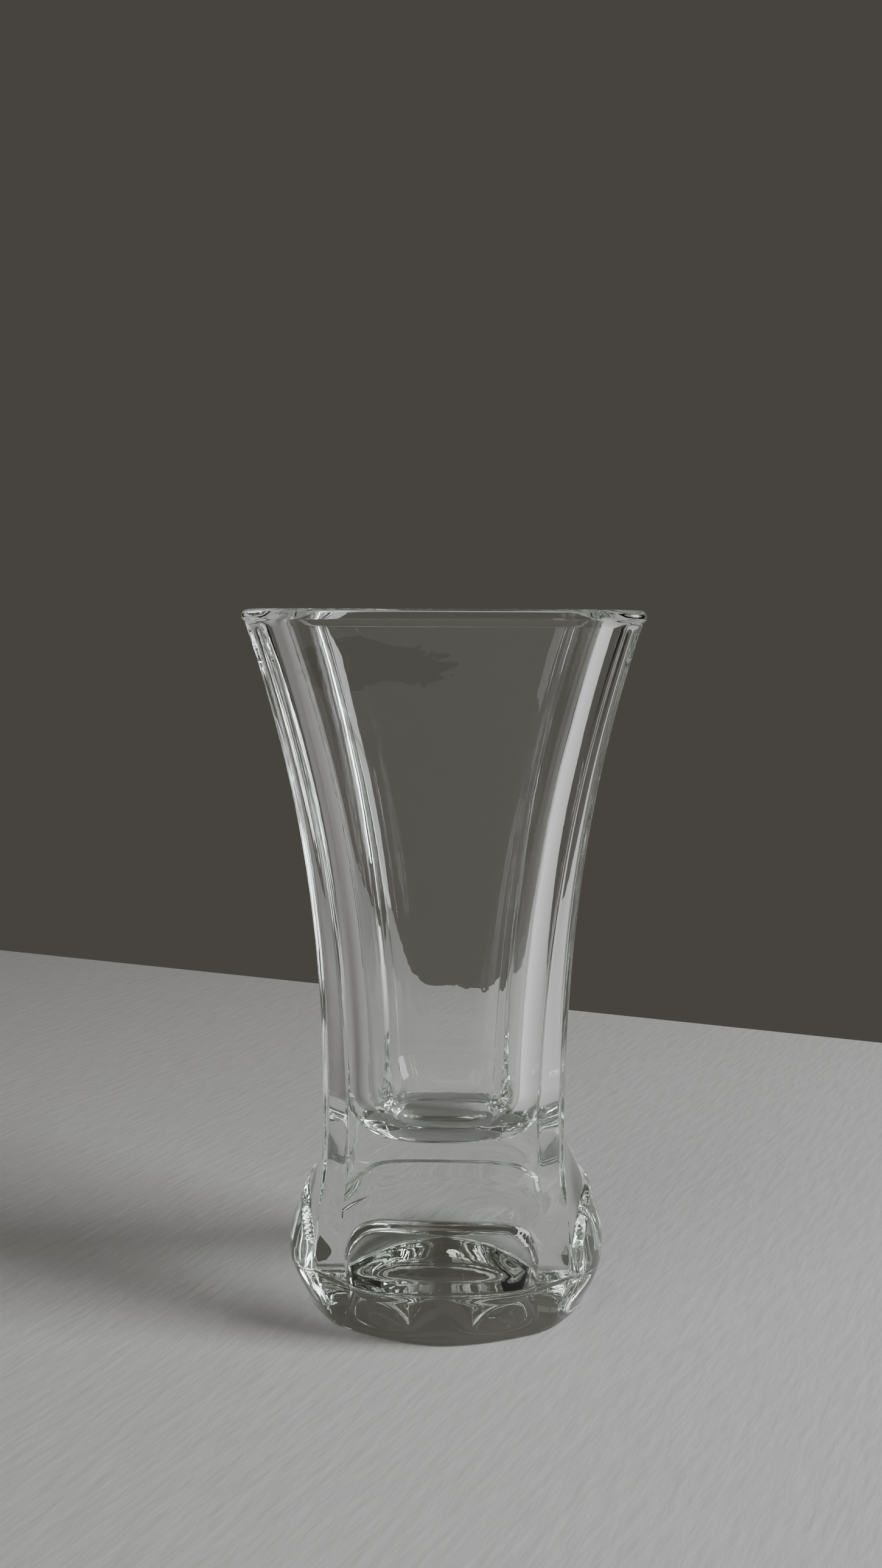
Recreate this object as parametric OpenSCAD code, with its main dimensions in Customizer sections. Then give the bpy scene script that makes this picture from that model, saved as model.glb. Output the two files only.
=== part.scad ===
// Square flared glass bud vase with corner pillars, a lobed solid foot and a plain rim band.
// Millimetres, Z up, the resting face on Z = 0 and the axis on X = Y = 0.
// The real vase is one casting: rim, body and foot are regions of it, touching face to face.

/* [Overall] */
// Height from the resting face to the top of the rim
height = 180; // [170:1:190]
// Width across the flats at the rim
rim_width = 95; // [90:1:100]
// Width across the flats at the waist
waist_width = 61; // [57:1:65]
// Height of the narrowest part above the resting face
waist_z = 60; // [56:1:66]
// How late the sides flare out: a higher number keeps them straight for longer
flare_power = 2.17; // [1.8:0.01:2.6]

/* [Rim] */
// Height of the plain band at the rim
band_height = 3; // [2:0.5:5]
// Corner radius of the plain band
band_corner_radius = 7; // [5:0.5:10]
// Glass thickness at the rim
rim_wall = 3.2; // [2.5:0.1:4]

/* [Corner pillars] */
// Set-back of each corner from the flats just under the rim
pillar_leg_rim = 4; // [3:0.5:5]
// Set-back of each corner from the flats at the waist
pillar_leg_waist = 7.3; // [6:0.1:8.5]
// Depth of the groove on each side of a pillar
groove_depth = 0.9; // [0.5:0.1:1.3]
// Width of the groove on each side of a pillar
groove_width = 0.6; // [0.4:0.1:0.9]
// How far the panels between the pillars bulge at their middle
panel_bulge = 0.4; // [0.1:0.1:0.8]

/* [Foot] */
// Height of the top of the solid foot
foot_top = 45; // [43:0.5:45]
// Height at which the lobes start to swell out of the sides
lobe_start = 41; // [39:0.5:43]
// Width across two opposite lobes at their fullest
lobe_width = 82; // [76:1:86]
// Height of the fullest part of the lobes
lobe_z = 17.7; // [16:0.1:20]
// Width across two opposite lobes at the resting face
base_lobe_width = 72.8; // [70:0.2:75]
// How softly the lobes run into the sides
lobe_blend = 3.2; // [1:0.2:5]
// Width across the flats of the corners at their crease
crease_width = 66.2; // [64:0.2:69]
// Height of the corner crease
crease_z = 13.5; // [11:0.5:16]
// Set-back of each corner just above its crease
crease_leg = 9.6; // [8:0.2:11]
// Set-back of each corner just under its crease, where its facet is widest
under_crease_leg = 12; // [10:0.2:13]
// Set-back of each corner at the resting face
base_leg = 2.4; // [2:0.2:4]
// Set-back of each corner where the grooves run out above the lobes
groove_end_leg = 6.6; // [6:0.1:7.5]
// Height at which the grooves run out
groove_end_z = 31; // [30:0.5:34]
// Width across the flats of the corners at the resting face
base_width = 54.4; // [52:0.2:58]
// Height of the ledge over the pillow on each lobe
ledge_z = 31; // [29:0.5:33]
// How far the pillow stands proud at the ledge
pillow_rise = 0.8; // [0.4:0.1:1.2]
// Depth of the hollow under the foot
recess_depth = 2.5; // [1.5:0.1:4]
// Width of the hollow under the foot
recess_width = 50; // [44:1:52]
// Corner radius of the hollow under the foot
recess_corner = 12; // [9:1:15]
// How flat the ceiling of the hollow under the foot is
recess_power = 2.6; // [2:0.1:4]

/* [Hollow] */
// Height of the floor of the hollow above the resting face
floor_z = 46; // [45.5:0.5:52]
// Height over which the bottom of the hollow is rounded
floor_round = 14; // [9:1:18]
// Glass thickness of the sides at the waist
waist_wall = 4.5; // [3.5:0.5:7]
// Share of the hollow's width that its floor is flat over
floor_flat = 0.55; // [0.45:0.05:0.7]
// Inner corner radius at the mouth of the hollow
hollow_corner_radius = 16; // [11:1:18]
// Inner corner radius at the bottom of the hollow
floor_corner_radius = 20; // [14:1:20]

/* [Hidden] */
band_z = height - band_height;
glass = [0.86, 0.90, 0.89, 0.45];
panel_n = 15;
quarter_n = 20;
ring_n = 4 * quarter_n;
// Small round edge at the resting face: its height, and its share of the full width
edge_height = 0.8;
edge_share = 0.975;
// How far the arch of the ledge drops at its ends, and the height over which it blends
arch_drop = 10;
arch_blend = 1.8;
// How far a pillar's face is rounded out at its middle
pillar_crown = 0.35;
// Heights over which a groove runs out at its lower and upper ends, and a panel's bulge at the band
groove_low_run = 6;
groove_high_run = 2.5;
panel_run = 20;

function clamp01(v) = min(1, max(0, v));
function ease(v) = clamp01(v) * clamp01(v) * (3 - 2 * clamp01(v));

// How far up the flare a height is, 0 at the waist and 1 at the rim
function flare_t(z) = clamp01((z - waist_z) / (height - waist_z));

// Half width across the flats of the body, and of the foot's corners below the body
function flare_half(z) = waist_width / 2 + (rim_width - waist_width) / 2 * pow(flare_t(z), flare_power);
function upper_foot(z) = crease_width / 2
    + (waist_width - crease_width) / 2 * clamp01((z - crease_z) / (lobe_start - crease_z));
function lower_foot(z) = base_width / 2 + (crease_width - base_width) / 2 * clamp01(z / crease_z);
function flat_half(z) = z >= lobe_start ? flare_half(z) : z >= crease_z ? upper_foot(z) : lower_foot(z);

function mix(a, b, t) = a + (b - a) * t;

// Set-back of the corner: slim under the rim, wide at the waist, widest at the crease of the foot
function corner_leg(z) =
    z >= waist_z ? mix(pillar_leg_rim, pillar_leg_waist, pow(1 - flare_t(z), 1.7))
    : z >= groove_end_z
    ? mix(groove_end_leg, pillar_leg_waist, ease((z - groove_end_z) / (waist_z - groove_end_z)))
    : mix(
        mix(base_leg, under_crease_leg, z / crease_z),
        mix(crease_leg, groove_end_leg, (z - crease_z) / (groove_end_z - crease_z)),
        ease(z - crease_z + 1)
      );

// The groove runs out in a point above the lobes and again just under the rim band
function groove_fade(z) =
    min(ease((z - groove_end_z) / groove_low_run), ease((band_z - z) / groove_high_run));

// How far a panel or lobe stands out at its middle: the lobe runs smoothly into the flat panel
function lobe_up(z) = 1 - pow((z - lobe_z) / (lobe_start - lobe_z), 1.5);
function lobe_down(z) = 1 - pow((lobe_z - z) / lobe_z, 2);
function lobe_half(z) = z >= lobe_z
    ? mix(waist_width / 2, lobe_width / 2 - pillow_rise, lobe_up(z))
    : mix(base_lobe_width / 2, lobe_width / 2, lobe_down(z)) - pillow_rise;
function bulge(z) = let (
    panel = panel_bulge * ease((band_z - z) / panel_run),
    gap = lobe_half(z) - flat_half(z) - panel
  ) panel + max(0, gap) + pow(max(0, lobe_blend - abs(gap)), 2) / (4 * lobe_blend);

// Outward swell at u, from -1 to 1 across a panel: soft above the ledge, an arched pillow below it
function soft(u, z) = 1 - pow(abs(u), mix(2, 2.6, ease((lobe_start - z) / 12)));
function pillow(u, z) = let (low = ease(z / crease_z))
    pow(max(0, 1 - pow(abs(u), mix(1.7, 2.8, low))), mix(1, 0.5, low));
function under_arch(u, z) = ease((ledge_z - arch_drop * pow(abs(u), 8) - z) / arch_blend);
function swell(u, z) = bulge(z) * mix(soft(u, z), pillow(u, z), under_arch(u, z))
    + pillow_rise * under_arch(u, z) * pillow(u, z);

function turn(p, q) = q == 0 ? p : turn([-p[1], p[0], p[2]], q - 1);

// One quarter of the outside: a panel, a groove, the corner pillar and the next groove
function outer_quarter(z) = let (
    a = flat_half(z),
    b = a - corner_leg(z),
    gw = groove_width,
    gd = groove_depth * groove_fade(z),
    c0 = [b + gw, -(a - gw - gd)],
    c1 = [a - gw - gd, -(b + gw)]
  ) concat(
    [for (i = [0 : panel_n - 1]) let (u = sin(90 * (-1 + 2 * i / (panel_n - 1))))
      [b * u, -(a + swell(u, z)), z]],
    [for (i = [0 : 4]) let (s = i / 4, round_out = pillar_crown * groove_fade(z) * 4 * s * (1 - s))
      [c0[0] + (c1[0] - c0[0]) * s + round_out, c0[1] + (c1[1] - c0[1]) * s - round_out, z]]
  );

// One quarter of a square with round corners
function round_quarter(half, r, z) = let (k = half - r) concat(
    [for (i = [0 : panel_n - 1]) let (
        v = -1 + 2 * i / (panel_n - 1),
        m = abs(v),
        side = v < 0 ? -1 : 1,
        phi = m <= 5 / 7 ? 0 : (m - 5 / 7) * 105
      ) m <= 5 / 7 ? [v * 7 / 5 * k, -half, z] : [side * (k + r * sin(phi)), -(k + r * cos(phi)), z]],
    [for (i = [1 : 5]) let (phi = 30 + 5 * i) [k + r * sin(phi), -(k + r * cos(phi)), z]]
  );

function outer_ring(z) = [for (q = [0 : 3]) for (p = outer_quarter(z)) turn(p, q)];
function round_ring(half, r, z) = [for (q = [0 : 3]) for (p = round_quarter(half, r, z)) turn(p, q)];

// Half width of the hollow, closing to a rounded floor
function wall(z) = rim_wall + (waist_wall - rim_wall) * pow(1 - flare_t(z), 1.6);
function hollow_half(z) = flare_half(z) - wall(z);
function hollow_ring(z) = let (
    d = clamp01((floor_z + floor_round - z) / floor_round),
    shrink = floor_flat + (1 - floor_flat) * sqrt(max(0, 1 - d * d)),
    h = hollow_half(z) * shrink
  ) round_ring(h, min(h * 0.8, mix(floor_corner_radius, hollow_corner_radius, flare_t(z))), z);

// Skin over a stack of rings, each end closed by a fan about its own centre
module skin(rings) {
  n = len(rings);
  pts = concat([for (r = rings) for (p = r) p], [[0, 0, rings[0][0][2]], [0, 0, rings[n - 1][0][2]]]);
  sides = [for (k = [0 : n - 2]) for (i = [0 : ring_n - 1])
    let (j = (i + 1) % ring_n, lo = k * ring_n, hi = (k + 1) * ring_n)
    each [[lo + i, hi + j, lo + j], [lo + i, hi + i, hi + j]]];
  first = [for (i = [0 : ring_n - 1]) [n * ring_n, i, (i + 1) % ring_n]];
  last = [for (i = [0 : ring_n - 1])
    [n * ring_n + 1, (n - 1) * ring_n + (i + 1) % ring_n, (n - 1) * ring_n + i]];
  polyhedron(points = pts, faces = concat(sides, first, last), convexity = 6);
}

// Skin over a stack of rings that returns to its first ring
module closed_skin(rings) {
  n = len(rings);
  pts = [for (r = rings) for (p = r) p];
  faces = [for (k = [0 : n - 1]) for (i = [0 : ring_n - 1])
    let (j = (i + 1) % ring_n, lo = k * ring_n, hi = ((k + 1) % n) * ring_n)
    each [[lo + i, hi + j, lo + j], [lo + i, hi + i, hi + j]]];
  polyhedron(points = pts, faces = faces, convexity = 6);
}

band_half = rim_width / 2;
band_inner = hollow_half(height);

module rim() {
  rr = band_corner_radius;
  hr = hollow_corner_radius;
  mid = (band_half + band_inner) / 2;
  color(glass)
  closed_skin([
    round_ring(band_half - 0.5, rr, band_z),
    round_ring(band_half, rr, band_z + 0.6),
    round_ring(band_half, rr, height - 1.2),
    round_ring(band_half - 0.35, rr, height - 0.45),
    round_ring(band_half - 1.1, rr, height),
    round_ring(band_inner + 0.7, hr, height),
    round_ring(band_inner + 0.2, hr, height - 0.4),
    round_ring(band_inner, hr, height - 1.1),
    hollow_ring(band_z)
  ]);
}

module body() {
  steps = 26;
  inner_steps = 16;
  floor_top = floor_z + floor_round;
  outside = [for (i = [0 : steps]) outer_ring(foot_top + (band_z - 1 - foot_top) * i / steps)];
  inside = [for (i = [0 : inner_steps]) hollow_ring(band_z + (floor_top - band_z) * i / inner_steps)];
  bottom = [for (i = [1 : 8]) hollow_ring(floor_z + floor_round * (1 - sin(90 * i / 8)))];
  color(glass)
  skin(concat(outside, [round_ring(band_half - 0.5, band_corner_radius, band_z)], inside, bottom));
}

module foot() {
  dome = [for (i = [1 : 8]) let (s = i / 8)
    round_ring(recess_width / 2 * s, recess_corner * s, recess_depth * (1 - pow(s, recess_power)))];
  edge = [for (p = outer_ring(edge_height)) [p[0] * edge_share, p[1] * edge_share, 0]];
  steps = 26;
  color(glass)
  skin(concat(
    dome,
    [edge],
    [for (i = [0 : steps]) outer_ring(mix(edge_height, foot_top, i / steps))]
  ));
}

rim();
body();
foot();
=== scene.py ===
"""Looks of the square flared glass bud vase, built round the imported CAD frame. Metres, +Z up."""
import math

import bpy
import numpy as np
from mathutils import Matrix, Vector, noise


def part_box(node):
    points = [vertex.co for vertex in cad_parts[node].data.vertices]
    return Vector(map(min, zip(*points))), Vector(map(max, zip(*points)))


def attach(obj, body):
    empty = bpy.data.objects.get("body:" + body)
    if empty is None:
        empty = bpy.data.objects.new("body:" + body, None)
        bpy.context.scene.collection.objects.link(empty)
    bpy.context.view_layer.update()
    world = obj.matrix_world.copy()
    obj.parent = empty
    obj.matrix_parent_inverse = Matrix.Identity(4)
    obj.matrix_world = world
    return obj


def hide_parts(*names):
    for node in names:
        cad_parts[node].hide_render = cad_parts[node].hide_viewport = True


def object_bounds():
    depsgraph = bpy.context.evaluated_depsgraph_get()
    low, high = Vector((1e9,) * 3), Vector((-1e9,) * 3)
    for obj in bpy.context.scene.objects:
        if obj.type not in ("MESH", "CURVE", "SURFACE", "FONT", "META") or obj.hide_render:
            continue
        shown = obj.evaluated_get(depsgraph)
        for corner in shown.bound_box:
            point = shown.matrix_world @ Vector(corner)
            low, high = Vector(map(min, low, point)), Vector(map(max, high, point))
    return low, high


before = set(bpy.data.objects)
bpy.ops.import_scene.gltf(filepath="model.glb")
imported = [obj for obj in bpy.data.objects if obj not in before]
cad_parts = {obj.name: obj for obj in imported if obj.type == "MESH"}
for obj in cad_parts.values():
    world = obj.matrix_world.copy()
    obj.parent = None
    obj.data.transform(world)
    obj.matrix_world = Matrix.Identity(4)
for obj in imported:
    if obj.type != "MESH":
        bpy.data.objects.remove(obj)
cad_low, cad_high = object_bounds()

MM = 0.001

# Sizes read from the frame, in millimetres
HEIGHT = cad_high.z / MM
RIM_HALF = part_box("rim")[1].x / MM
BAND_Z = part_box("rim")[0].z / MM
LOBE_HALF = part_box("foot")[1].x / MM

# The rest of the vase's design sizes, in millimetres
WAIST_HALF = 30.5
WAIST_Z = 60.0
FLARE_POWER = 2.17
BAND_CORNER_RADIUS = 7.0
RIM_WALL = 3.2
WAIST_WALL = 4.5
PILLAR_LEG_RIM = 4.0
PILLAR_LEG_WAIST = 7.3
GROOVE_DEPTH = 0.9
GROOVE_WIDTH = 0.6
GROOVE_END_Z = 31.0
GROOVE_END_LEG = 6.6
PANEL_BULGE = 0.4
LOBE_START = 41.0
LOBE_Z = 17.7
BASE_LOBE_HALF = 36.4
LOBE_BLEND = 3.2
CREASE_HALF = 33.1
CREASE_Z = 13.5
CREASE_LEG = 9.6
BASE_HALF = 27.2
BASE_LEG = 2.4
UNDER_CREASE_LEG = 12.0
FLOOR_Z = 46.0
FLOOR_ROUND = 14.0
FLOOR_FLAT = 0.55
FLOOR_CORNER = 20.0
HOLLOW_CORNER = 16.0
RECESS_DEPTH = 2.5
RECESS_HALF = 25.0
RECESS_CORNER = 12.0
RECESS_POWER = 2.6

# The pillow on the front of each lobe, an arch standing a little proud under a ledge
LEDGE_Z = 31.0
PILLOW_RISE = 0.8
ARCH_DROP = 10.0
ARCH_BLEND = 1.8

# The small round edge at the resting face: its height, and its share of the full width
EDGE_HEIGHT = 0.8
EDGE_SHARE = 0.975

# How far a pillar's face is rounded out, and the heights over which a groove and a panel's bulge run out
PILLAR_CROWN = 0.35
GROOVE_LOW_RUN = 6.0
GROOVE_HIGH_RUN = 2.5
PANEL_RUN = 20.0

# Mesh resolution, in points along one quarter of a ring
PANEL_POINTS = 49
GROOVE_POINTS = 4
PILLAR_POINTS = 11


def clamp01(value):
    return np.clip(value, 0.0, 1.0)


def ease(value):
    t = clamp01(value)
    return t * t * (3 - 2 * t)


def mix(a, b, t):
    return a + (b - a) * t


def flare_t(z):
    return clamp01((z - WAIST_Z) / (HEIGHT - WAIST_Z))


def flat_half(z):
    """Half width across the flats, measured at the edge of a panel."""
    if z >= LOBE_START:
        return WAIST_HALF + (RIM_HALF - WAIST_HALF) * flare_t(z) ** FLARE_POWER
    if z >= CREASE_Z:
        return mix(CREASE_HALF, WAIST_HALF, (z - CREASE_Z) / (LOBE_START - CREASE_Z))
    return mix(BASE_HALF, CREASE_HALF, z / CREASE_Z)


def corner_leg(z):
    """How far a corner is set back from the flats."""
    if z >= WAIST_Z:
        return mix(PILLAR_LEG_RIM, PILLAR_LEG_WAIST, (1 - flare_t(z)) ** 1.7)
    if z >= GROOVE_END_Z:
        return mix(GROOVE_END_LEG, PILLAR_LEG_WAIST, ease((z - GROOVE_END_Z) / (WAIST_Z - GROOVE_END_Z)))
    over = mix(CREASE_LEG, GROOVE_END_LEG, (z - CREASE_Z) / (GROOVE_END_Z - CREASE_Z))
    under = mix(BASE_LEG, UNDER_CREASE_LEG, z / CREASE_Z)
    return mix(under, over, ease((z - CREASE_Z) / 1.0 + 1))


def groove_fade(z):
    return min(ease((z - GROOVE_END_Z) / GROOVE_LOW_RUN), ease((BAND_Z - z) / GROOVE_HIGH_RUN))


def lobe_half(z):
    """Half width across the middles of two opposite lobes."""
    if z >= LOBE_Z:
        rise = 1 - ((z - LOBE_Z) / (LOBE_START - LOBE_Z)) ** 1.5
        return mix(WAIST_HALF, LOBE_HALF - PILLOW_RISE, rise)
    fall = 1 - ((LOBE_Z - z) / LOBE_Z) ** 2
    return mix(BASE_LOBE_HALF - PILLOW_RISE, LOBE_HALF - PILLOW_RISE, fall)


def bulge(z):
    """How far a panel or lobe stands out at its middle: the lobe runs smoothly into the flat panel."""
    panel = PANEL_BULGE * ease((BAND_Z - z) / PANEL_RUN)
    gap = lobe_half(z) - flat_half(z) - panel
    return panel + max(0.0, gap) + max(0.0, LOBE_BLEND - abs(gap)) ** 2 / (4 * LOBE_BLEND)


def swell(u, z):
    """How far the panel stands out at u, from -1 to 1 across it: soft above the ledge, arched below."""
    m = np.abs(u)
    soft = 1 - m ** mix(2.0, 2.6, ease((LOBE_START - z) / 12))
    low = ease(z / CREASE_Z)
    pillow = clamp01(1 - m ** mix(1.7, 2.8, low)) ** mix(1.0, 0.5, low)
    arch = LEDGE_Z - ARCH_DROP * m ** 8
    under = ease((arch - z) / ARCH_BLEND)
    return bulge(z) * mix(soft, pillow, under) + PILLOW_RISE * under * pillow


def outer_quarter(z):
    a = flat_half(z)
    b = a - corner_leg(z)
    depth = GROOVE_DEPTH * groove_fade(z)
    u = np.sin(np.linspace(-math.pi / 2, math.pi / 2, PANEL_POINTS))
    panel = np.stack([b * u, -(a + swell(u, z))], 1)
    start = np.array([b + GROOVE_WIDTH, -(a - GROOVE_WIDTH - depth)])
    end = np.array([a - GROOVE_WIDTH - depth, -(b + GROOVE_WIDTH)])
    s = np.linspace(0, 1, PILLAR_POINTS)[:, None]
    crown = PILLAR_CROWN * groove_fade(z) * 4 * s * (1 - s)
    pillar = start + (end - start) * s + crown * np.array([1.0, -1.0])
    t = np.arange(1, GROOVE_POINTS + 1)[:, None] / (GROOVE_POINTS + 1)
    drop = t ** 2 * (3 - 2 * t)
    first = np.array([b, -a]) + (start - np.array([b, -a])) * np.hstack([t, drop])
    last = np.array([a, -b]) + (end - np.array([a, -b])) * np.hstack([drop, t])
    return np.vstack([panel, first, pillar, last[::-1]])


def around(quarter):
    """The four quarters of a ring, turned about the axis."""
    rings = []
    for k in range(4):
        c, s = [(1, 0), (0, 1), (-1, 0), (0, -1)][k]
        rings.append(quarter @ np.array([[c, s], [-s, c]]))
    return np.vstack(rings)


def outer_ring(z):
    return around(outer_quarter(z))


CORNER_POINTS = 2 * GROOVE_POINTS + PILLAR_POINTS
RING_POINTS = 4 * (PANEL_POINTS + CORNER_POINTS)


def round_ring(half, radius):
    """A square with round corners, with its points matched to those of an outer ring."""
    k = half - radius
    v = np.linspace(-1, 1, PANEL_POINTS)
    m = np.abs(v)
    phi = np.radians(np.where(m <= 5 / 7, 0, (m - 5 / 7) * 105))
    x = np.where(m <= 5 / 7, v * 7 / 5 * k, np.sign(v) * (k + radius * np.sin(phi)))
    side = np.stack([x, -(k + radius * np.cos(phi))], 1)
    step = 30 / (CORNER_POINTS + 1)
    turn = np.radians(30 + step * np.arange(1, CORNER_POINTS + 1))
    corner = np.stack([k + radius * np.sin(turn), -(k + radius * np.cos(turn))], 1)
    return around(np.vstack([side, corner]))


def hollow_half(z):
    wall = RIM_WALL + (WAIST_WALL - RIM_WALL) * (1 - flare_t(z)) ** 1.6
    return WAIST_HALF + (RIM_HALF - WAIST_HALF) * flare_t(z) ** FLARE_POWER - wall


def hollow_ring(z):
    d = clamp01((FLOOR_Z + FLOOR_ROUND - z) / FLOOR_ROUND)
    h = hollow_half(z) * (FLOOR_FLAT + (1 - FLOOR_FLAT) * math.sqrt(max(0.0, 1 - d * d)))
    return round_ring(h, min(h * 0.8, mix(FLOOR_CORNER, HOLLOW_CORNER, flare_t(z))))


def vase_rings():
    """Every ring of the closed skin: under the foot, up the outside, over the rim, down the hollow."""
    rings = []

    def add(ring, z):
        rings.append(np.hstack([ring, np.full((RING_POINTS, 1), z)]))

    for s in np.linspace(0, 1, 41)[1:]:
        add(round_ring(RECESS_HALF * s, RECESS_CORNER * s), RECESS_DEPTH * (1 - s ** RECESS_POWER))
    for s in (0.25, 0.5, 0.75):
        add(mix(round_ring(RECESS_HALF, RECESS_CORNER), outer_ring(EDGE_HEIGHT) * EDGE_SHARE, s), 0)
    for s in np.linspace(0, 1, 5):
        angle = s * math.pi / 2
        share = EDGE_SHARE + 0.025 * math.sin(angle)
        add(outer_ring(EDGE_HEIGHT) * share, EDGE_HEIGHT * (1 - math.cos(angle)))
    for z in np.arange(1.5, LOBE_START + 9, 0.6):
        add(outer_ring(z), z)
    for z in np.linspace(LOBE_START + 9.6, BAND_Z - 6, 80):
        add(outer_ring(z), z)
    for z in np.linspace(BAND_Z - 5.5, BAND_Z - 0.8, 11):
        add(outer_ring(z), z)
    band_inner = hollow_half(HEIGHT)
    for s in (0.0, 0.5, 1.0):
        add(round_ring(RIM_HALF - 0.5 * (1 - ease(s)), BAND_CORNER_RADIUS), BAND_Z + 0.6 * s)
    lip = (RIM_HALF - band_inner) / 2
    for s in np.linspace(0, 1, 19):
        angle = s * math.pi
        half = (RIM_HALF + band_inner) / 2 + lip * math.cos(angle)
        radius = mix(BAND_CORNER_RADIUS, HOLLOW_CORNER, s)
        add(round_ring(half, radius), HEIGHT - 1.3 + 1.3 * math.sin(angle) ** 0.8)
    for z in np.linspace(HEIGHT - 2, FLOOR_Z + FLOOR_ROUND, 84):
        add(hollow_ring(z), z)
    for s in np.linspace(0, math.pi / 2, 26)[1:]:
        z = FLOOR_Z + FLOOR_ROUND * (1 - math.sin(s))
        add(hollow_ring(z), z)
    return rings


def wavy(points):
    """Pressed glass is never quite flat: a slow ripple moves each point a little towards the axis."""
    out = points.copy()
    radial = points.copy()
    radial[:, 2] = 0
    length = np.linalg.norm(radial, axis=1, keepdims=True)
    radial /= np.maximum(length, 1e-6)
    for i, (p, r) in enumerate(zip(points, radial)):
        slow = noise.noise(Vector((p[0] / 14, p[1] / 14, p[2] / 38)))
        fine = noise.noise(Vector((p[0] / 5 + 7, p[1] / 5, p[2] / 26)))
        fade = min(1.0, max(0.0, (p[2] - 0.9) / 3.0)) * min(1.0, max(0.0, (HEIGHT - p[2]) / 3.0 + 0.2))
        out[i] = p - r * fade * (0.06 * (slow + 1) + 0.022 * (fine + 1))
    return out


def skin_mesh(name, rings):
    n = len(rings)
    points = wavy(np.vstack(rings))
    first = np.array([[0, 0, rings[0][0][2]]])
    last = np.array([[0, 0, rings[-1][0][2]]])
    vertices = np.vstack([points, first, last]) * MM
    faces = []
    for k in range(n - 1):
        lo, hi = k * RING_POINTS, (k + 1) * RING_POINTS
        for i in range(RING_POINTS):
            j = (i + 1) % RING_POINTS
            faces.append((lo + i, lo + j, hi + j, hi + i))
    for i in range(RING_POINTS):
        j = (i + 1) % RING_POINTS
        faces.append((n * RING_POINTS, j, i))
        faces.append((n * RING_POINTS + 1, (n - 1) * RING_POINTS + i, (n - 1) * RING_POINTS + j))
    mesh = bpy.data.meshes.new(name)
    mesh.from_pydata(vertices.tolist(), [], faces)
    mesh.update()
    mesh.shade_smooth()
    made = bpy.data.objects.new(name, mesh)
    bpy.context.scene.collection.objects.link(made)
    return made


def new_material(name):
    material = bpy.data.materials.new(name)
    material.use_nodes = True
    return material, material.node_tree.nodes, material.node_tree.links


def glass_material():
    material, nodes, links = new_material("clear_pressed_glass")
    shader = nodes["Principled BSDF"]
    shader.inputs["Base Color"].default_value = (0.985, 0.992, 0.985, 1)
    shader.inputs["Transmission Weight"].default_value = 1.0
    shader.inputs["IOR"].default_value = 1.5
    coords = nodes.new("ShaderNodeTexCoord")
    wear = nodes.new("ShaderNodeTexNoise")
    wear.inputs["Scale"].default_value = 60
    wear.inputs["Detail"].default_value = 6
    rough = nodes.new("ShaderNodeMapRange")
    rough.inputs["From Min"].default_value = 0.45
    rough.inputs["From Max"].default_value = 0.8
    rough.inputs["To Min"].default_value = 0.0
    rough.inputs["To Max"].default_value = 0.03
    links.new(coords.outputs["Object"], wear.inputs["Vector"])
    links.new(wear.outputs["Fac"], rough.inputs["Value"])
    links.new(rough.outputs["Result"], shader.inputs["Roughness"])
    ripple = nodes.new("ShaderNodeTexNoise")
    ripple.inputs["Scale"].default_value = 180
    ripple.inputs["Detail"].default_value = 2
    bump = nodes.new("ShaderNodeBump")
    bump.inputs["Strength"].default_value = 0.04
    bump.inputs["Distance"].default_value = 0.0005
    links.new(coords.outputs["Object"], ripple.inputs["Vector"])
    links.new(ripple.outputs["Fac"], bump.inputs["Height"])
    links.new(bump.outputs["Normal"], shader.inputs["Normal"])
    body = nodes.new("ShaderNodeVolumeAbsorption")
    body.inputs["Color"].default_value = (0.80, 0.86, 0.80, 1)
    body.inputs["Density"].default_value = 6.0
    links.new(body.outputs["Volume"], nodes["Material Output"].inputs["Volume"])
    return material


def table_material():
    material, nodes, links = new_material("pale_table")
    shader = nodes["Principled BSDF"]
    shader.inputs["Roughness"].default_value = 0.7
    coords = nodes.new("ShaderNodeTexCoord")
    stretch = nodes.new("ShaderNodeMapping")
    stretch.inputs["Scale"].default_value = (420, 70, 1)
    stretch.inputs["Rotation"].default_value = (0, 0, math.radians(20))
    brush = nodes.new("ShaderNodeTexNoise")
    brush.inputs["Scale"].default_value = 1.0
    brush.inputs["Detail"].default_value = 5
    tone = nodes.new("ShaderNodeMix")
    tone.data_type = "RGBA"
    tone.inputs["A"].default_value = (0.50, 0.485, 0.48, 1)
    tone.inputs["B"].default_value = (0.62, 0.605, 0.60, 1)
    bump = nodes.new("ShaderNodeBump")
    bump.inputs["Strength"].default_value = 0.35
    bump.inputs["Distance"].default_value = 0.0006
    links.new(coords.outputs["Object"], stretch.inputs["Vector"])
    links.new(stretch.outputs["Vector"], brush.inputs["Vector"])
    links.new(brush.outputs["Fac"], tone.inputs["Factor"])
    links.new(tone.outputs["Result"], shader.inputs["Base Color"])
    links.new(brush.outputs["Fac"], bump.inputs["Height"])
    links.new(bump.outputs["Normal"], shader.inputs["Normal"])
    return material


# The camera stands at the viewing angle, about level with the rim
CAMERA_TURN = math.radians(2.6)
CAMERA_PITCH = math.radians(5.0)
CAMERA_ROLL = math.radians(0.3)
CAMERA_PLACE = Vector((-0.00216, -0.441, 0.174))
LENS_MM = 39.13
TURN = Matrix.Rotation(CAMERA_TURN, 4, "Z")


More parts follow.
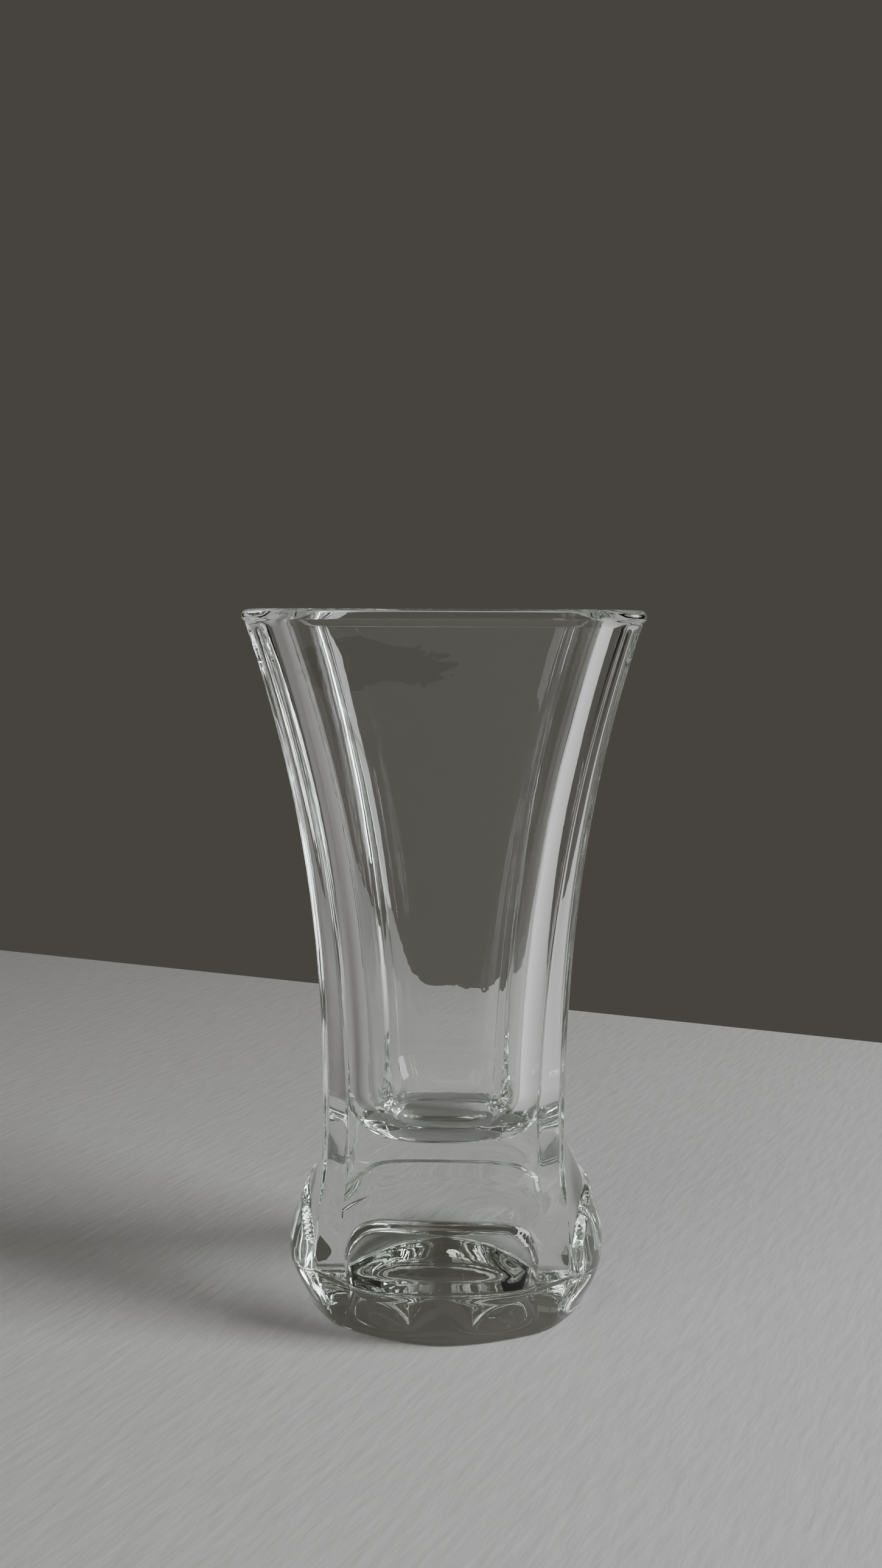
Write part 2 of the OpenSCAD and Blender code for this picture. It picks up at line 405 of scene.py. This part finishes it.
def add_camera():
    data = bpy.data.cameras.new("camera")
    data.lens = LENS_MM
    data.sensor_width = 36
    camera = bpy.data.objects.new("camera", data)
    tilt = Matrix.Rotation(math.pi / 2 - CAMERA_PITCH, 4, "X")
    roll = Matrix.Rotation(CAMERA_ROLL, 4, "Z")
    camera.matrix_world = TURN @ Matrix.Translation(CAMERA_PLACE) @ tilt @ roll
    bpy.context.scene.collection.objects.link(camera)
    bpy.context.scene.camera = camera


# The foot stands on a few high spots of the paint, with a film of air between, so light reflects inside it
AIR_GAP = 0.00003


def add_table():
    """A rectangular table top whose far edge crosses the view behind the vase."""
    half_length, half_width, thickness = 1.0, 0.334, 0.02
    turned = TURN @ Matrix.Rotation(math.radians(-25.3), 4, "Z")
    low, high = -thickness, -AIR_GAP
    corners = [(-1, -1), (1, -1), (1, 1), (-1, 1)]
    points = [(x * half_length, y * half_width, z) for z in (low, high) for x, y in corners]
    faces = [(3, 2, 1, 0), (4, 5, 6, 7), (0, 1, 5, 4), (1, 2, 6, 5), (2, 3, 7, 6), (3, 0, 4, 7)]
    mesh = bpy.data.meshes.new("table")
    mesh.from_pydata(points, [], faces)
    mesh.update()
    table = bpy.data.objects.new("table", mesh)
    table.matrix_world = turned
    bpy.context.scene.collection.objects.link(table)
    mesh.materials.append(table_material())


def add_light(name, place, target, size, power, colour):
    data = bpy.data.lights.new(name, "AREA")
    data.shape = "RECTANGLE"
    data.size, data.size_y = size
    data.energy = power
    data.color = colour
    light = bpy.data.objects.new(name, data)
    at = TURN @ Vector(place)
    aim = (TURN @ Vector(target) - at).to_track_quat("-Z", "Y")
    light.matrix_world = Matrix.Translation(at) @ aim.to_matrix().to_4x4()
    bpy.context.scene.collection.objects.link(light)


def add_world():
    world = bpy.data.worlds.new("dark_room")
    world.use_nodes = True
    backdrop = world.node_tree.nodes["Background"]
    backdrop.inputs["Color"].default_value = (0.070, 0.066, 0.057, 1)
    bpy.context.scene.world = world


def set_light_paths():
    """Light reflects many times inside thick glass, and a path cut short shows as black."""
    cycles = bpy.context.scene.cycles
    cycles.glossy_bounces = 16
    cycles.transmission_bounces = 24
    cycles.max_bounces = 32


def add_vase():
    vase = skin_mesh("glass_vase", vase_rings())
    vase.data.materials.append(glass_material())
    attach(vase, "root")
    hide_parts("rim", "body", "foot")


add_camera()
add_table()
add_world()
set_light_paths()
add_light("window", (0.95, -0.30, 0.52), (0, 0, 0.06), (0.55, 0.75), 18.0, (0.95, 0.98, 1.0))
add_light("fill", (-0.5, -0.7, 1.1), (0, 0, 0.05), (0.8, 0.8), 3.0, (1.0, 0.98, 0.96))
add_vase()
